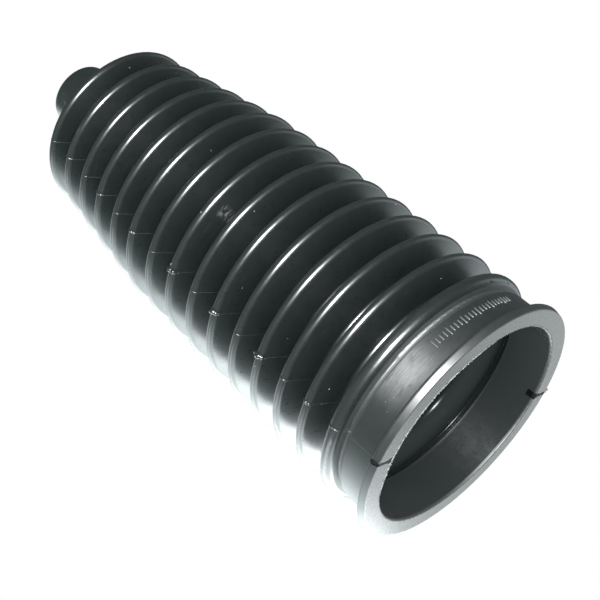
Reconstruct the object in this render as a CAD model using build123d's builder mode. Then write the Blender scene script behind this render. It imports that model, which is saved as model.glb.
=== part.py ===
# Rubber bellows boot for a steering rack, moulded in one piece.
# Millimetres. The boot stands on the face of its large end, with +Z along its axis
# towards the small end and the origin at the centre of that face.

import os
from math import copysign, hypot, radians, sin, tan

from build123d import *

# Folds
body_folds = 10
cone_folds = 5
fold_pitch = 8.0
fold_wall = 1.3
flank_angle = 18.0
crest_rounding = 1.1
root_rounding = 1.0
inner_crest_rounding = 0.4
body_narrowing = 2.5
cone_narrowing = 5.7

# Large cuff, clamped on the rack housing
large_bore_diameter = 53.0
large_cuff_wall = 2.4
large_cuff_length = 9.7
large_cuff_rounding = 0.4
lip_height = 2.6
lip_draft = 0.5
lip_edge_length = 2.0
lip_edge_rounding = 0.3
lip_back_length = 0.6
lip_back_rounding = 0.7
mouth_rounding = 0.3

# Neck, a groove where the thick cuff steps down to the thin wall of the folds
neck_step_length = 0.3
neck_length = 1.1
neck_rounding = 0.5

# Shoulder, the first fold, which is wider than the others
shoulder_height = 1.7
shoulder_widening = 1.0
shoulder_rounding = 1.5

# Small cuff, which grips the tie rod
small_bore_diameter = 12.0
small_bore_rounding = 0.5
small_cuff_wall = 1.7
small_cuff_length = 12.6
small_cuff_rounding = 1.5
end_cone_length = 6.6
bead_height = 0.9
bead_edge_length = 6.0
bead_back_length = 0.6
bead_rounding = 1.0

# Values that follow from the sizes above
fold_count = body_folds + cone_folds
flank_slope = tan(radians(flank_angle))
flank_height = fold_pitch / 2 / flank_slope
flank_wall = fold_wall / sin(radians(flank_angle))
crest_excess = crest_rounding * (1 / sin(radians(flank_angle)) - 1)
body_taper = body_narrowing / (body_folds - 1)
cone_taper = cone_narrowing / cone_folds
large_bore_radius = large_bore_diameter / 2
large_cuff_radius = large_bore_radius + large_cuff_wall
neck_radius = large_bore_radius + fold_wall
lip_radius = large_cuff_radius + lip_height
shoulder_radius = large_cuff_radius + shoulder_height
small_bore_radius = small_bore_diameter / 2
small_cuff_radius = small_bore_radius + small_cuff_wall
bead_radius = small_cuff_radius + bead_height
neck_end_z = large_cuff_length + neck_step_length + neck_length
shoulder_corner_radius = shoulder_radius + crest_excess
shoulder_corner_z = neck_end_z + (shoulder_corner_radius - neck_radius) * flank_slope
first_crest_z = shoulder_corner_z + shoulder_widening
last_crest_z = first_crest_z + (fold_count - 1) * fold_pitch
small_cuff_z = last_crest_z + end_cone_length
boot_length = small_cuff_z + small_cuff_length


def crest_radius(fold):
    """Radius over a crest. Folds count from 0 at the large end."""
    cone_steps = max(fold - (body_folds - 1), 0)
    body_steps = fold - cone_steps
    return shoulder_radius - body_steps * body_taper - cone_steps * cone_taper


def crest_corner(fold):
    """Where the two flanks of a crest would meet without its rounding."""
    return crest_radius(fold) + crest_excess, first_crest_z + fold * fold_pitch


def root_corner(fold):
    """Where the flanks would meet in the root between a fold and the next one."""
    radius, z = crest_corner(fold)
    next_radius, next_z = crest_corner(fold + 1)
    return (radius + next_radius) / 2 - flank_height, (z + next_z) / 2


def inside(corner):
    """The inner corner of the wall behind an outer crest or root corner."""
    radius, z = corner
    return radius - flank_wall, z


def height_inside(start, end, radius):
    """Height at a radius on the inner face of the wall between two outer corners."""
    rise = (end[1] - start[1]) / (end[0] - start[0])
    wall_height = copysign(fold_wall * hypot(1, rise), end[0] - start[0])
    return start[1] + (radius - start[0]) * rise + wall_height


# Corners that the two sides of the wall share
neck_end = (neck_radius, neck_end_z)
shoulder_front = (shoulder_radius, shoulder_corner_z - crest_excess * flank_slope)
shoulder_back = (shoulder_radius, first_crest_z + crest_excess * flank_slope)
last_crest = crest_corner(fold_count - 1)
cone_foot = (small_cuff_radius, small_cuff_z)

# The section is a closed outline of corners (radius, z), each with its own rounding.
# The outer side climbs from the mouth to the small end.
outline = [
    ((large_bore_radius, 0), mouth_rounding),
    ((lip_radius - lip_draft, 0), lip_edge_rounding),
    ((lip_radius, lip_edge_length), lip_back_rounding),
    ((large_cuff_radius, lip_edge_length + lip_back_length), large_cuff_rounding),
    ((large_cuff_radius, large_cuff_length), large_cuff_rounding),
    ((neck_radius, large_cuff_length + neck_step_length), neck_rounding),
    (neck_end, neck_rounding),
    (shoulder_front, shoulder_rounding),
    (shoulder_back, shoulder_rounding),
]
for fold in range(1, fold_count):
    outline.append((root_corner(fold - 1), root_rounding))
    outline.append((crest_corner(fold), crest_rounding))
outline += [
    (cone_foot, small_cuff_rounding),
    ((small_cuff_radius, boot_length - bead_edge_length - bead_back_length), bead_back_length),
    ((bead_radius, boot_length - bead_edge_length), bead_rounding),
    ((bead_radius, boot_length), bead_rounding),
]

# The inner side comes back down to the mouth, one wall behind the outer side.
cone_foot_inside = height_inside(last_crest, cone_foot, small_bore_radius)
neck_end_inside = height_inside(neck_end, shoulder_front, large_bore_radius)
outline += [
    ((small_bore_radius, boot_length), small_bore_rounding),
    ((small_bore_radius, cone_foot_inside), small_bore_rounding),
]
for fold in range(fold_count - 1, 0, -1):
    outline.append((inside(crest_corner(fold)), inner_crest_rounding))
    outline.append((inside(root_corner(fold - 1)), root_rounding + fold_wall))
outline += [
    (inside(crest_corner(0)), inner_crest_rounding),
    (inside((shoulder_corner_radius, shoulder_corner_z)), inner_crest_rounding),
    ((large_bore_radius, neck_end_inside), inner_crest_rounding),
]

with BuildPart() as bellows_boot:
    with BuildSketch(Plane.XZ):
        with BuildLine():
            FilletPolyline(
                [point for point, rounding in outline],
                radius=[rounding for point, rounding in outline],
                close=True,
            )
        make_face()
    revolve(axis=Axis.Z)

bellows_boot.part.label = "bellows_boot"
os.makedirs("parts", exist_ok=True)
export_step(bellows_boot.part, "parts/bellows_boot.step")
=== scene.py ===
import random
from math import ceil, copysign, cos, exp, hypot, pi, radians, sin

import bmesh
import bpy
from mathutils import Matrix, Vector, noise
from mathutils.bvhtree import BVHTree


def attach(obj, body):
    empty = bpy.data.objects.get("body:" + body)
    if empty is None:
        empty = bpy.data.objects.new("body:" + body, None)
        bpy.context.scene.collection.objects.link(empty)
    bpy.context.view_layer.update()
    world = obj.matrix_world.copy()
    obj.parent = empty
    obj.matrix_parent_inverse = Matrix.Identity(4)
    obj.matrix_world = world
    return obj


# The boot stands on the face of its large end, +Z towards the small end, in metres.
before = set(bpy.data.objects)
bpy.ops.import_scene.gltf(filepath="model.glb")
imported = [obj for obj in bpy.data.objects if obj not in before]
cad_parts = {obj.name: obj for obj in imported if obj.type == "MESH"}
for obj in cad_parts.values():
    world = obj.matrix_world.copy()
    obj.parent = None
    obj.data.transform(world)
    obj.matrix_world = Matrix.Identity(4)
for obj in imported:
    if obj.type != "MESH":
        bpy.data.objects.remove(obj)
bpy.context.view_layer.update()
MM = 0.001
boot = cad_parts["bellows_boot"]

# Sizes of the boot that the details sit on, in millimetres
FOLD_COUNT = 15
FOLD_PITCH = 8.0
FIRST_CREST_Z = 13.8
BORE_RADIUS = 26.5
BORE_END_Z = 12.9
LIP_RADIUS = 31.35
LIP_FACE_RADIUS = 30.8
LIP_LENGTH = 2.2
CUFF_RADIUS = 28.9
CUFF_END_Z = 9.8

# The two halves of the mould met in a plane through the axis, at this angle round it
PARTING_ANGLE = radians(-127.8)
FAR_PARTING_ANGLE = PARTING_ANGLE + pi
# The ring that moulded the lip was turned a little against them
LIP_NICK_ANGLE = radians(-125.5)
FAR_LIP_NICK_ANGLE = LIP_NICK_ANGLE + pi


# Materials

class Nodes:
    """Adds linked nodes to one tree. Each value may be a socket or a number."""

    def __init__(self, tree):
        self.tree = tree

    def add(self, kind, **settings):
        node = self.tree.nodes.new(kind)
        for name, value in settings.items():
            setattr(node, name, value)
        return node

    def plug(self, value, socket):
        if isinstance(value, bpy.types.NodeSocket):
            self.tree.links.new(value, socket)
        else:
            socket.default_value = value

    def plug_all(self, values, node):
        for value, socket in zip(values, node.inputs):
            self.plug(value, socket)

    def maths(self, operation, *values):
        node = self.add("ShaderNodeMath", operation=operation)
        self.plug_all(values, node)
        return node.outputs[0]

    def times(self, first, *others):
        for factor in others:
            first = self.maths("MULTIPLY", first, factor)
        return first

    def largest(self, first, *others):
        for value in others:
            first = self.maths("MAXIMUM", first, value)
        return first

    def raise_where(self, mask, change, value):
        """The value, changed where the mask is 1."""
        return self.maths("MULTIPLY_ADD", mask, change, value)

    def ramp(self, value, start, end, low, high):
        """A smooth step: low before start, high after end."""
        node = self.add("ShaderNodeMapRange", interpolation_type="SMOOTHSTEP")
        self.plug_all((value, start, end, low, high), node)
        return node.outputs["Result"]

    def rise(self, value, start, end):
        return self.ramp(value, start, end, 0.0, 1.0)

    def fall(self, value, start, end):
        return self.ramp(value, start, end, 1.0, 0.0)

    def band(self, value, start, end, edge):
        """1 between start and end, with soft edges."""
        return self.times(self.rise(value, start - edge, start + edge),
                          self.fall(value, end - edge, end + edge))

    def sector(self, angle, start, end, edge):
        """1 between two angles in degrees, with soft edges."""
        return self.band(angle, radians(start), radians(end), radians(edge))

    def combine(self, x, y, z):
        node = self.add("ShaderNodeCombineXYZ")
        self.plug_all((x, y, z), node)
        return node.outputs[0]

    def separate(self, vector):
        node = self.add("ShaderNodeSeparateXYZ")
        self.plug(vector, node.inputs[0])
        return node.outputs

    def measure(self, operation, *vectors):
        """A number worked out from vectors."""
        node = self.add("ShaderNodeVectorMath", operation=operation)
        self.plug_all(vectors, node)
        return node.outputs["Value"]

    def noise_at(self, vector, scale, detail, roughness):
        node = self.add("ShaderNodeTexNoise")
        self.plug(vector, node.inputs["Vector"])
        for name, value in (("Scale", scale), ("Detail", detail), ("Roughness", roughness)):
            node.inputs[name].default_value = value
        return node.outputs["Fac"]

    def mix_colour(self, factor, a, b):
        node = self.add("ShaderNodeMix", data_type="RGBA")
        for value, index in ((factor, 0), (a, 6), (b, 7)):
            self.plug(value, node.inputs[index])
        return node.outputs[2]

    def mix_shader(self, factor, a, b):
        node = self.add("ShaderNodeMixShader")
        self.plug_all((factor, a.outputs[0], b.outputs[0]), node)
        return node.outputs[0]

    def object_point(self, coordinates):
        """Object coordinates in millimetres."""
        node = self.add("ShaderNodeVectorMath", operation="SCALE")
        self.plug(coordinates.outputs["Object"], node.inputs[0])
        self.plug(1 / MM, node.inputs["Scale"])
        return node.outputs[0]


def new_material(name):
    """A material, its nodes and the inputs of its shader."""
    material = bpy.data.materials.new(name)
    material.use_nodes = True
    tree = material.node_tree
    return material, Nodes(tree), tree.nodes["Principled BSDF"].inputs


# Colours of the rubber, linear, among them painted highlights, a painted reflection, painted light
# and painted shade
SKIN_DARK = (0.027, 0.038, 0.037, 1)
SKIN_LIGHT = (0.034, 0.048, 0.047, 1)
# A pale rub on the cuff, partly a painted highlight of the flash
RUB_MARK_AND_HIGHLIGHT = (0.33, 0.35, 0.35, 1)
SCRATCH_WHITE = (0.62, 0.64, 0.64, 1)
# Paler tick tops, a painted highlight
TICK_TOP_HIGHLIGHT = (0.20, 0.22, 0.22, 1)
# The lip face is paler, partly its own grey and partly a painted reflection of the white table
LIP_FACE = (0.085, 0.09, 0.086, 1)
# The inside is painted lighter than the outside, as painted light from the flash and the table
BORE_WALL_PAINTED_LIGHT = (0.068, 0.080, 0.080, 1)
INNER_FOLD_PAINTED_LIGHT = (0.050, 0.062, 0.062, 1)
# Near black in the nicks, a painted shade
NICK_PAINTED_SHADE = (0.006, 0.006, 0.007, 1)


def make_rubber():
    material, nodes, shader = new_material("black_rubber")
    shader["IOR"].default_value = 1.52
    # The gloss is drawn out a little round the axis, as the mould was turned
    shader["Anisotropic"].default_value = 0.3
    shader["Anisotropic Rotation"].default_value = 0.25
    round_axis = nodes.add("ShaderNodeTangent", direction_type="RADIAL", axis="Z")
    nodes.plug(round_axis.outputs[0], shader["Tangent"])

    # Where a point is on the boot, in millimetres, and how far its surface faces outwards
    coordinates = nodes.add("ShaderNodeTexCoord")
    point = nodes.object_point(coordinates)
    x, y, z = nodes.separate(point)
    flat = nodes.combine(x, y, 0.0)
    radius = nodes.measure("LENGTH", flat)
    angle = nodes.maths("ARCTAN2", y, x)
    facing = nodes.measure("DOT_PRODUCT", coordinates.outputs["Normal"], flat)
    outward = nodes.maths("DIVIDE", facing, radius)

    # Parts of the boot
    lip = nodes.fall(z, LIP_LENGTH, LIP_LENGTH + 0.4)
    lip_edge = nodes.times(lip, nodes.rise(radius, LIP_FACE_RADIUS - 0.1, LIP_FACE_RADIUS + 0.2))
    # The lip's face, painted paler: partly its own grey, partly a painted reflection of the table
    lip_face = nodes.times(nodes.fall(z, 0.03, 0.25),
                           nodes.rise(radius, BORE_RADIUS + 0.1, BORE_RADIUS + 0.3))
    mouth = nodes.times(nodes.fall(z, 0.5, 0.8),
                        nodes.fall(radius, BORE_RADIUS + 0.3, BORE_RADIUS + 0.6))
    cuff = nodes.times(nodes.band(z, LIP_LENGTH + 0.5, CUFF_END_Z, 0.15),
                       nodes.rise(radius, CUFF_RADIUS - 0.6, CUFF_RADIUS - 0.3))
    # The raised tops of the ticks, painted paler as a painted highlight
    tick_top_highlight = nodes.times(nodes.band(z, 5.0, 9.0, 0.3),
                            nodes.rise(radius, CUFF_RADIUS + 0.08, CUFF_RADIUS + 0.18))
    # Inward faces, painted lighter than the outside as painted light in the bore, less so on the
    # folds deeper in
    inside = nodes.fall(outward, -0.15, -0.05)
    bore_end = nodes.times(inside, nodes.band(z, BORE_END_Z - 1.6, BORE_END_Z, 0.2))
    inner_folds = nodes.times(inside, nodes.rise(z, BORE_END_Z, BORE_END_Z + 0.5))
    neck = nodes.times(nodes.band(z, CUFF_END_Z - 0.3, CUFF_END_Z + 2.0, 0.1),
                       nodes.fall(radius, CUFF_RADIUS + 0.1, CUFF_RADIUS + 0.6),
                       nodes.maths("SUBTRACT", 1.0, inside))

    # Moulded skin: a faint mottle, a fine grain, and rings left by the turned mould
    mottle = nodes.noise_at(point, 0.45, 3.0, 0.6)
    grain = nodes.noise_at(point, 2.2, 2.0, 0.5)
    ring_space = nodes.combine(nodes.times(angle, 0.8), nodes.times(radius, 1.3),
                               nodes.times(z, 3.0))
    rings = nodes.noise_at(ring_space, 1.0, 2.0, 0.5)

    # Fine scratches round the large cuff, and a pale rub mark across them that is partly a painted
    # highlight where the flash falls on the band, fading towards the lip
    scratch_space = nodes.combine(nodes.times(angle, 6.0), 0.0, nodes.times(z, 4.0))
    scratches = nodes.noise_at(scratch_space, 1.0, 3.0, 0.7)
    smear_space = nodes.combine(nodes.times(angle, 7.0), 0.0, nodes.times(z, 0.5))
    smear = nodes.noise_at(smear_space, 1.0, 3.0, 0.6)
    rub_and_highlight = nodes.times(nodes.sector(angle, -100, -82, 9), cuff,
                         nodes.rise(smear, 0.22, 0.52),
                         nodes.ramp(scratches, 0.30, 0.62, 0.40, 1.0),
                         nodes.ramp(z, 3.4, 5.6, 0.25, 1.0))

    # A scuff on one fold, and long faint scratches round a few folds
    stroke_space = nodes.combine(nodes.times(angle, 14.0), nodes.times(z, 6.0), 3.0)
    strokes = nodes.noise_at(stroke_space, 1.0, 2.0, 0.6)
    scuff = nodes.times(nodes.sector(angle, -91.5, -86.5, 2.5), nodes.band(z, 66.9, 68.1, 0.2),
                        nodes.rise(strokes, 0.47, 0.55))
    streak_space = nodes.combine(nodes.times(angle, 3.0), nodes.times(radius, 6.0),
                                 nodes.times(z, 0.3))
    streaks = nodes.noise_at(streak_space, 1.0, 2.0, 0.5)
    streaks = nodes.times(nodes.rise(streaks, 0.66, 0.74), nodes.sector(angle, -160, -95, 15),
                          nodes.rise(outward, 0.05, 0.2), nodes.fall(cuff, 0.0, 1.0))
    scratched = nodes.largest(nodes.times(scuff, 0.9), nodes.times(streaks, 0.10))

    # The parting line crosses the lip as a nick on each side, wider at the bore, painted near black
    # as painted shade in its groove
    unevenness = nodes.maths("SUBTRACT", nodes.noise_at(point, 1.6, 2.0, 0.6), 0.5)
    ragged_angle = nodes.raise_where(unevenness, 0.03, angle)
    half_width = nodes.ramp(radius, 26.8, 28.8, 0.034, 0.016)
    nick = 0.0
    for centre in (LIP_NICK_ANGLE, FAR_LIP_NICK_ANGLE):
        off_centre = nodes.maths("ABSOLUTE", nodes.maths("SUBTRACT", ragged_angle, centre))
        share = nodes.maths("DIVIDE", off_centre, half_width)
        nick = nodes.largest(nick, nodes.fall(share, 0.8, 1.1))
    nick = nodes.times(nick, lip)

    # Painted over the skin in turn: the rub mark with a painted highlight, scratches, painted
    # highlights on the tick tops, the lip face with a painted reflection, painted light inside, and
    # painted shade in the nicks
    colour = nodes.mix_colour(mottle, SKIN_DARK, SKIN_LIGHT)
    for mask, paint in ((rub_and_highlight, RUB_MARK_AND_HIGHLIGHT), (scratched, SCRATCH_WHITE), (tick_top_highlight, TICK_TOP_HIGHLIGHT),
                        (lip_face, LIP_FACE), (inside, BORE_WALL_PAINTED_LIGHT), (inner_folds, INNER_FOLD_PAINTED_LIGHT),
                        (nick, NICK_PAINTED_SHADE)):
        colour = nodes.mix_colour(mask, colour, paint)
    nodes.plug(colour, shader["Base Color"])

    rough = nodes.ramp(mottle, 0.3, 0.7, 0.28, 0.31)
    for mask, change in ((cuff, 0.14), (rub_and_highlight, 0.12), (lip_edge, 0.15), (lip_face, -0.02),
                         (inside, -0.08), (bore_end, 0.10), (neck, 0.26), (mouth, 0.35),
                         (nick, 0.30), (nodes.maths("SUBTRACT", grain, 0.5), 0.08)):
        rough = nodes.raise_where(mask, change, rough)
    nodes.plug(rough, shader["Roughness"])

    # The folds inside and the nicks in the lip are dull, and the cuff is duller than the folds
    dull = nodes.largest(inner_folds, nick, nodes.times(cuff, 0.3))
    nodes.plug(nodes.raise_where(dull, -0.44, 0.5), shader["Specular IOR Level"])

    relief = nodes.raise_where(grain, 0.35, nodes.times(rings, 0.35))
    relief = nodes.raise_where(nodes.times(scratches, cuff), 1.2, relief)
    relief = nodes.times(relief, nodes.ramp(lip_face, 0.0, 1.0, 1.0, 0.15))
    relief = nodes.raise_where(nick, -3.0, relief)
    bump = nodes.add("ShaderNodeBump")
    for name, value in (("Strength", 0.12), ("Distance", 0.06 * MM), ("Height", relief)):
        nodes.plug(value, bump.inputs[name])
    nodes.plug(bump.outputs["Normal"], shader["Normal"])
    return material


def make_pale(name, dark, light):
    """Thin torn rubber or dust, paler than the skin and uneven. On the torn rubber the pale is partly
    a painted highlight.
    """
    material, nodes, shader = new_material(name)
    point = nodes.object_point(nodes.add("ShaderNodeTexCoord"))
    uneven = nodes.noise_at(point, 1.4, 3.0, 0.7)
    nodes.plug(nodes.mix_colour(nodes.rise(uneven, 0.42, 0.58), dark, light), shader["Base Color"])
    nodes.plug(nodes.ramp(uneven, 0.3, 0.7, 0.7, 0.4), shader["Roughness"])
    return material


rubber = make_rubber()
for slot in boot.material_slots:
    slot.material = rubber
# The trimmed skin at the mouth is pale, partly torn rubber and partly a painted highlight on its
# ragged edge
torn_rubber_and_highlight = make_pale("torn_rubber_and_highlight", (0.05, 0.055, 0.055, 1), (0.62, 0.63, 0.62, 1))
thin_flash = make_pale("thin_flash", (0.10, 0.085, 0.045, 1), (0.36, 0.32, 0.20, 1))
dust = make_pale("pale_dust", (0.35, 0.36, 0.36, 1), (0.70, 0.71, 0.70, 1))


# Moulding marks, each a closed mesh seated on the boot's own surface

boot_surface = BVHTree.FromPolygons([vertex.co for vertex in boot.data.vertices],
                                    [tuple(face.vertices) for face in boot.data.polygons])
BEYOND_BOOT = 0.05


def outer_radius(angle, z):
    """Radius of the boot's outside at a height, in millimetres."""
    outward = Vector((cos(angle), sin(angle), 0))
    start = outward * BEYOND_BOOT + Vector((0, 0, z * MM))
    hit = boot_surface.ray_cast(start, -outward)[0]
    return hypot(hit.x, hit.y) / MM


def on_boot(radius, angle, z):
    """A point in metres, from a radius and a height in millimetres."""
    return Vector((radius * cos(angle), radius * sin(angle), z)) * MM


def wander(x, y=0.0, z=0.0):
    """Smooth noise between -1 and 1."""
    return noise.noise(Vector((x, y, z)))


def add_mark(name, make_shape, material=rubber, smooth=True):
    mesh = bmesh.new()
    make_shape(mesh)
    bmesh.ops.recalc_face_normals(mesh, faces=mesh.faces)
    data = bpy.data.meshes.new(name)
    mesh.to_mesh(data)
    mesh.free()
    for polygon in data.polygons:
        polygon.use_smooth = smooth
    piece = bpy.data.objects.new(name, data)
    bpy.context.collection.objects.link(piece)
    data.materials.append(material)
    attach(piece, "root")


def loft(mesh, rings):
    """Joins rings of points into one closed tube."""
    loops = [[mesh.verts.new(point) for point in ring] for ring in rings]
    for front, back in zip(loops, loops[1:]):
        for i in range(len(front)):
            j = (i + 1) % len(front)
            mesh.faces.new((front[i], front[j], back[j], back[i]))
    mesh.faces.new(loops[0])
    mesh.faces.new(loops[-1][::-1])


def outside_profile(angle, first_z, last_z, spacing):
    """Points (radius, z) evenly spaced along the boot's outside."""
    step = 0.03
    heights = [first_z + i * step for i in range(ceil((last_z - first_z) / step))]
    fine = [(outer_radius(angle, z), z) for z in heights]
    points = [fine[0]]
    walked = 0.0
    for (r0, z0), (r1, z1) in zip(fine, fine[1:]):
        walked += hypot(r1 - r0, z1 - z0)
        if walked >= spacing:
            points.append((r1, z1))
            walked = 0.0
    return points


# How far the torn nib stands up on each fold, from the large end
NEAR_NIBS = (0.30, 0.45, 0.25, 1.0, 0.08, 1.0, 0.10, 1.0, 0.08, 0.45, 0.10, 0.50, 0.08, 0.35, 0.10)
FAR_NIBS = (0.25, 0.90, 0.10, 0.60, 0.08, 1.0, 0.10, 0.40, 0.08, 0.80, 0.10, 0.50, 0.08, 0.35, 0.10)
NIB_REACH = 1.15
FLASH_START_Z = LIP_LENGTH + 0.2
FLASH_END_Z = 144.0
FLASH_SPACING = 0.2
# The section of the flash: across in half widths, and up in heights. Below 0, up is a
# depth in millimetres, so that its edges lie in the rubber.
FLASH_SECTION = ((-1.6, -0.06), (-0.7, 0.7), (0.1, 1.0), (0.8, 0.6), (1.6, -0.06))


def nib_share(nibs, z):
    """How much of a nib there is at a height: full over a crest, and none between two."""
    fold = round((z - FIRST_CREST_Z) / FOLD_PITCH)
    if not 0 <= fold < FOLD_COUNT:
        return 0.0
    off_crest = z - FIRST_CREST_Z - fold * FOLD_PITCH
    return nibs[fold] * exp(-(off_crest / NIB_REACH) ** 4)


def flash_line(mesh, angle, nibs):
    """The thin raised line where the mould halves met, with torn nibs over the crests."""
    points = outside_profile(angle, FLASH_START_Z, FLASH_END_Z, FLASH_SPACING)
    rings = []
    for i, (before, (radius, z), after) in enumerate(zip(points, points[1:], points[2:]), 1):
        run_r = after[0] - before[0]
        run_z = after[1] - before[1]
        run = hypot(run_r, run_z)
        out_r, out_z = run_z / run, -run_r / run
        nib = nib_share(nibs, z)
        torn = wander(i * 0.75, angle * 9)
        drift = wander(i * 0.11, angle * 9, 5)
        height = max(0.04 + 0.03 * drift + nib * (0.60 + 0.90 * torn), 0.02)
        half_width = 0.06 + nib * (0.42 + 0.45 * torn)
        aside = 0.12 * nib * drift
        ring = []
        for across, up in FLASH_SECTION:
            lift = up * height if up > 0 else up
            turn = angle + (across * half_width + aside) / radius
            ring.append(on_boot(radius + out_r * lift, turn, z + out_z * lift))
        rings.append(ring)
    loft(mesh, rings)


def mouth_flash(mesh):
    """A ragged trimmed skin along the inner edge of the lip face, fading out at its ends."""
    first, last = radians(-150), radians(-52)
    count = 420
    rings = []
    for i in range(count + 1):
        share = i / count
        angle = first + (last - first) * share
        fade = min(1.0, share * 8, (1 - share) * 8)
        ragged = 0.5 + 0.5 * wander(i * 0.21, 1.0) + 0.35 * wander(i * 0.9, 4.0)
        inner_radius = BORE_RADIUS - fade * (0.12 + 0.95 * max(ragged, 0.0))
        droop = fade * 0.18 * wander(i * 0.35, 9.0)
        section = ((BORE_RADIUS + 0.34, 0.03), (BORE_RADIUS - 0.02, 0.03),
                   (inner_radius, 0.10 + droop), (inner_radius, 0.17 + droop),
                   (BORE_RADIUS + 0.02, 0.22), (BORE_RADIUS + 0.34, 0.16))
        rings.append([on_boot(radius, angle, z) for radius, z in section])
    loft(mesh, rings)


# Sections of the tab from its root to its tip: how far out from the lip's edge, half its
# width, and its lower and upper height
TAB_SECTIONS = ((-0.25, 0.95, 0.2, 1.3), (0.30, 0.85, 0.15, 1.2),
                (0.85, 0.60, 0.15, 0.95), (1.30, 0.25, 0.2, 0.6))


def flash_tab(mesh):
    """A small tab of flash left on the lip at the far parting line, with skewed corners."""
    rings = []
    for reach, half_width, low_z, high_z in TAB_SECTIONS:
        radius = LIP_RADIUS + reach
        low_turn = FAR_LIP_NICK_ANGLE - half_width / radius
        high_turn = FAR_LIP_NICK_ANGLE + half_width / radius
        corners = ((low_turn, low_z), (high_turn, low_z + 0.1),
                   (high_turn, high_z), (low_turn, high_z - 0.15))
        rings.append([on_boot(radius, turn, z) for turn, z in corners])
    loft(mesh, rings)


# A lump at the bore and one at the lip's edge: radius, height, and half its size outwards,
# along the lip and upwards
LIP_LUMPS = ((BORE_RADIUS, 0.60, 0.45, 0.75, 0.52), (LIP_RADIUS, 1.05, 0.26, 0.42, 0.85))


def lip_nibs(mesh):
    """Lumps of rubber at the corners of the lip, where the mould halves met."""
    for angle in (LIP_NICK_ANGLE, FAR_LIP_NICK_ANGLE):
        for radius, z, out, along, up in LIP_LUMPS:
            place = Matrix.Translation(on_boot(radius, angle, z)) @ Matrix.Rotation(angle, 4, "Z")
            lump = bmesh.ops.create_icosphere(mesh, subdivisions=3, radius=1.0)
            for vertex in lump["verts"]:
                uneven = 1.0 + 0.35 * noise.noise(vertex.co * 1.6 + Vector((radius, z, angle)))
                x, y, height = vertex.co * uneven
                vertex.co = place @ (Vector((x * out, y * along, height * up)) * MM)


# The raised scale, in degrees round the axis and in millimetres
TICK_COUNT = 23
FIRST_TICK = -74.8
TICKS_SPAN = 46.5
TICK_Z = 7.0
TICK_HALF_WIDTH = 0.19
TICK_HALF_LENGTH = 0.8
LONG_TICK_HALF_LENGTH = 1.1
LONG_TICK_EVERY = 4
# How far each ring of a tick is lifted off the cuff, and how far it is wider
TICK_RINGS = ((-0.08, 0.06), (0.10, 0.03), (0.17, -0.03), (0.20, -0.10))


def clipped(share):
    """Bulges an ellipse into a rectangle with clipped corners."""
    return copysign(min(1.0, abs(share) * 1.3), share)


def cuff_ticks(mesh):
    """A plain raised scale on the large cuff."""
    for i in range(TICK_COUNT):
        angle = radians(FIRST_TICK + i * TICKS_SPAN / (TICK_COUNT - 1))
        half_length = TICK_HALF_LENGTH if i % LONG_TICK_EVERY else LONG_TICK_HALF_LENGTH
        rings = []
        for lift, grow in TICK_RINGS:
            ring = []
            for corner in range(8):
                around = pi * (corner + 0.5) / 4
                across = (TICK_HALF_WIDTH + grow) * clipped(cos(around))
                along = (half_length + grow) * clipped(sin(around))
                ring.append(on_boot(CUFF_RADIUS + lift, angle + across / CUFF_RADIUS, TICK_Z + along))
            rings.append(ring)
        loft(mesh, rings)


# The specks seen in the photo, as degrees round the axis and heights in millimetres
DUST_PLACES = ((-112.2, 51.8), (-128.6, 21.6), (-42.2, 19.8),
               (-101.5, 5.8), (-104.9, 6.7), (-107.5, 5.2))
MORE_DUST = 60


def dust_specks(mesh):
    """Specks of dust on the outside, the ones seen in the photo and some more."""
    places = [(radians(degrees), z) for degrees, z in DUST_PLACES]
    chance = random.Random(7)
    places += [(chance.uniform(-pi, pi), chance.uniform(4.0, 140.0)) for i in range(MORE_DUST)]
    for i, (angle, z) in enumerate(places):
        size = chance.uniform(0.09, 0.18)
        place = Matrix.Translation(on_boot(outer_radius(angle, z), angle, z))
        turn = Matrix.Rotation(i * 1.7, 4, "Z") @ Matrix.Rotation(i * 0.9, 4, "X")
        stretch = Matrix.Diagonal((size * 1.5 * MM, size * MM, size * 0.7 * MM, 1))
        bmesh.ops.create_icosphere(mesh, subdivisions=1, radius=1.0, matrix=place @ turn @ stretch)


add_mark("parting_flash_near", lambda mesh: flash_line(mesh, PARTING_ANGLE, NEAR_NIBS))
add_mark("parting_flash_far", lambda mesh: flash_line(mesh, FAR_PARTING_ANGLE, FAR_NIBS))
add_mark("mouth_flash", mouth_flash, torn_rubber_and_highlight, smooth=False)
add_mark("lip_nibs", lip_nibs)
add_mark("lip_flash_tab", flash_tab, thin_flash)
add_mark("cuff_ticks", cuff_ticks)
add_mark("dust_specks", dust_specks, dust, smooth=False)


# Camera, placed as the photo was taken

camera_data = bpy.data.cameras.new("photo_camera")
camera = bpy.data.objects.new("photo_camera", camera_data)
bpy.context.collection.objects.link(camera)
camera_data.sensor_width = 36
camera_data.lens = 75.0
camera_data.clip_start = 0.01
camera_place = Vector((-0.0033, -0.2599, -0.0895))
camera_forward = Vector((0.0, 0.8786, 0.4776)).normalized()
camera_up = Vector((0.7548, -0.3133, 0.5763)).normalized()
camera_right = camera_forward.cross(camera_up).normalized()
camera_turn = Matrix((camera_right, camera_up, -camera_forward)).transposed()
camera.matrix_world = Matrix.Translation(camera_place) @ camera_turn.to_4x4()
bpy.context.scene.camera = camera
bpy.context.scene.view_settings.view_transform = "Standard"


# Light: a white table on one side of the boot, a dim room on the other, and a flash

TABLE_NORMAL = Vector((0.4825, -0.8759, 0.0))
PLAIN_LEVEL = 0.95
TABLE_EXTRA = 0.25
# Levels that gloss mirrors
TABLE_GLARE = 8.0
LEFT_TABLE_GLARE = 7.0
ROOM_GLOW = 0.07
MIRRORED_TINT = (0.90, 0.98, 1.0, 1)
WHITE = (1, 1, 1, 1)


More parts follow.
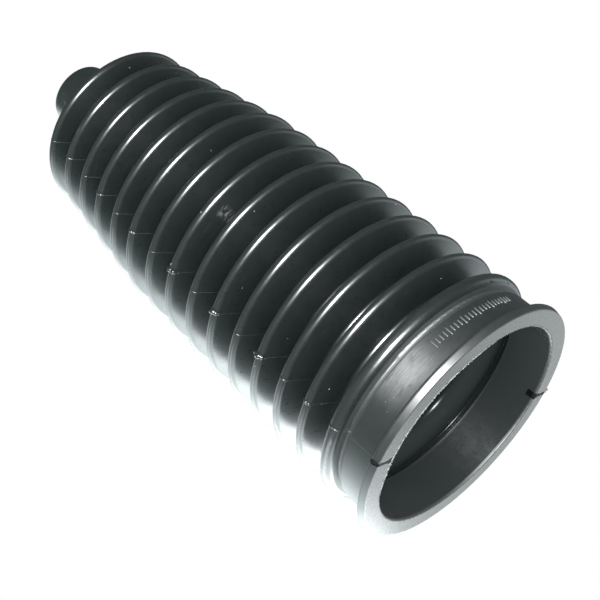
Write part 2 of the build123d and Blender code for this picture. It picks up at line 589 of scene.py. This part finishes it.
def make_world():
    world = bpy.data.worlds.new("table_and_room")
    bpy.context.scene.world = world
    world.use_nodes = True
    world.cycles.sampling_method = "NONE"
    world.node_tree.nodes.clear()
    nodes = Nodes(world.node_tree)
    direction = nodes.add("ShaderNodeTexCoord").outputs["Generated"]
    x, y, z = nodes.separate(direction)
    ray = nodes.add("ShaderNodeLightPath").outputs

    # Soft plain light from all round, a little stronger from the table
    above_table = nodes.measure("DOT_PRODUCT", direction, TABLE_NORMAL)
    soft = nodes.raise_where(nodes.fall(above_table, -0.16, 0.02), TABLE_EXTRA, PLAIN_LEVEL)

    # What gloss mirrors: the overexposed table beyond the boot and on its left, and the dark
    # room. Each range is one of the direction's x, y or z.
    right_level = nodes.raise_where(nodes.band(z, -0.48, -0.08, 0.12), 1.5, 0.1)
    leaning_x = nodes.maths("ADD", x, nodes.ramp(z, -0.30, 0.10, 0.0, 0.2))
    sideways = nodes.ramp(leaning_x, -0.30, -0.03, TABLE_GLARE, right_level)
    upwards = nodes.times(nodes.rise(z, -0.93, -0.50), nodes.ramp(z, 0.15, 0.50, 1.0, 0.4))
    beyond_boot = nodes.times(sideways, upwards, nodes.ramp(y, 0.05, 0.55, 0.06, 1.0))
    on_left = nodes.times(nodes.ramp(x, -0.92, -0.60, LEFT_TABLE_GLARE, 0.0),
                          nodes.band(z, -0.22, 0.30, 0.12), nodes.rise(y, -0.25, 0.15))
    mirrored = nodes.maths("ADD", nodes.largest(beyond_boot, on_left), ROOM_GLOW)

    surroundings = nodes.add("ShaderNodeBackground")
    glossy = ray["Is Glossy Ray"]
    level = nodes.raise_where(glossy, nodes.maths("SUBTRACT", mirrored, soft), soft)
    nodes.plug(level, surroundings.inputs["Strength"])
    nodes.plug(nodes.mix_colour(glossy, WHITE, MIRRORED_TINT), surroundings.inputs["Color"])
    backdrop = nodes.add("ShaderNodeBackground")
    backdrop.inputs["Color"].default_value = WHITE
    backdrop.inputs["Strength"].default_value = 1.0
    seen = nodes.largest(ray["Is Camera Ray"], ray["Is Transmission Ray"])
    output = nodes.add("ShaderNodeOutputWorld")
    nodes.plug(nodes.mix_shader(seen, surroundings, backdrop), output.inputs["Surface"])


def gloss_lamp(name, place, target, width, height, watts, colour):
    """A lamp that only gloss shows, so that colours keep the plain level of the world."""
    data = bpy.data.lights.new(name, "AREA")
    data.shape = "RECTANGLE"
    data.size = width
    data.size_y = height
    data.energy = watts
    data.color = colour
    lamp = bpy.data.objects.new(name, data)
    bpy.context.collection.objects.link(lamp)
    lamp.location = place
    lamp.rotation_euler = (target - place).to_track_quat("-Z", "Y").to_euler()
    lamp.visible_diffuse = False
    lamp.visible_camera = False


make_world()
flash_place = camera_place + camera_right * 0.018 + camera_up * 0.030
gloss_lamp("flash", place=flash_place, target=Vector((0, 0, 0.06)),
           width=0.042, height=0.036, watts=8.0, colour=(0.97, 0.99, 1.0))
gloss_lamp("table_near_lip", place=Vector((-0.066, 0.10, -0.036)), target=Vector((-0.029, 0, 0)),
           width=0.052, height=0.055, watts=0.056, colour=(0.96, 1.0, 1.0))


# Floor, seen from above only, because the photo looks at the boot's open end. It lies a
# little below the boot, and nothing but the camera sees it.

FLOOR_Z = -0.1 * MM
FLOOR_HALF_SIZE = 1.5
FLOOR_COLOUR = (0.80, 0.80, 0.79, 1)


def make_floor():
    mesh = bpy.data.meshes.new("floor")
    half = FLOOR_HALF_SIZE
    corners = ((-half, -half), (half, -half), (half, half), (-half, half))
    mesh.from_pydata([(x, y, FLOOR_Z) for x, y in corners], [], [(0, 1, 2, 3)])
    floor = bpy.data.objects.new("floor", mesh)
    bpy.context.collection.objects.link(floor)
    material, nodes, _ = new_material("floor")
    nodes.tree.nodes.clear()
    paint = nodes.add("ShaderNodeBsdfDiffuse")
    paint.inputs["Color"].default_value = FLOOR_COLOUR
    clear = nodes.add("ShaderNodeBsdfTransparent")
    below = nodes.add("ShaderNodeNewGeometry").outputs["Backfacing"]
    output = nodes.add("ShaderNodeOutputMaterial")
    nodes.plug(nodes.mix_shader(below, paint, clear), output.inputs["Surface"])
    mesh.materials.append(material)
    floor.visible_diffuse = False
    floor.visible_glossy = False
    floor.visible_transmission = False
    floor.visible_shadow = False


make_floor()
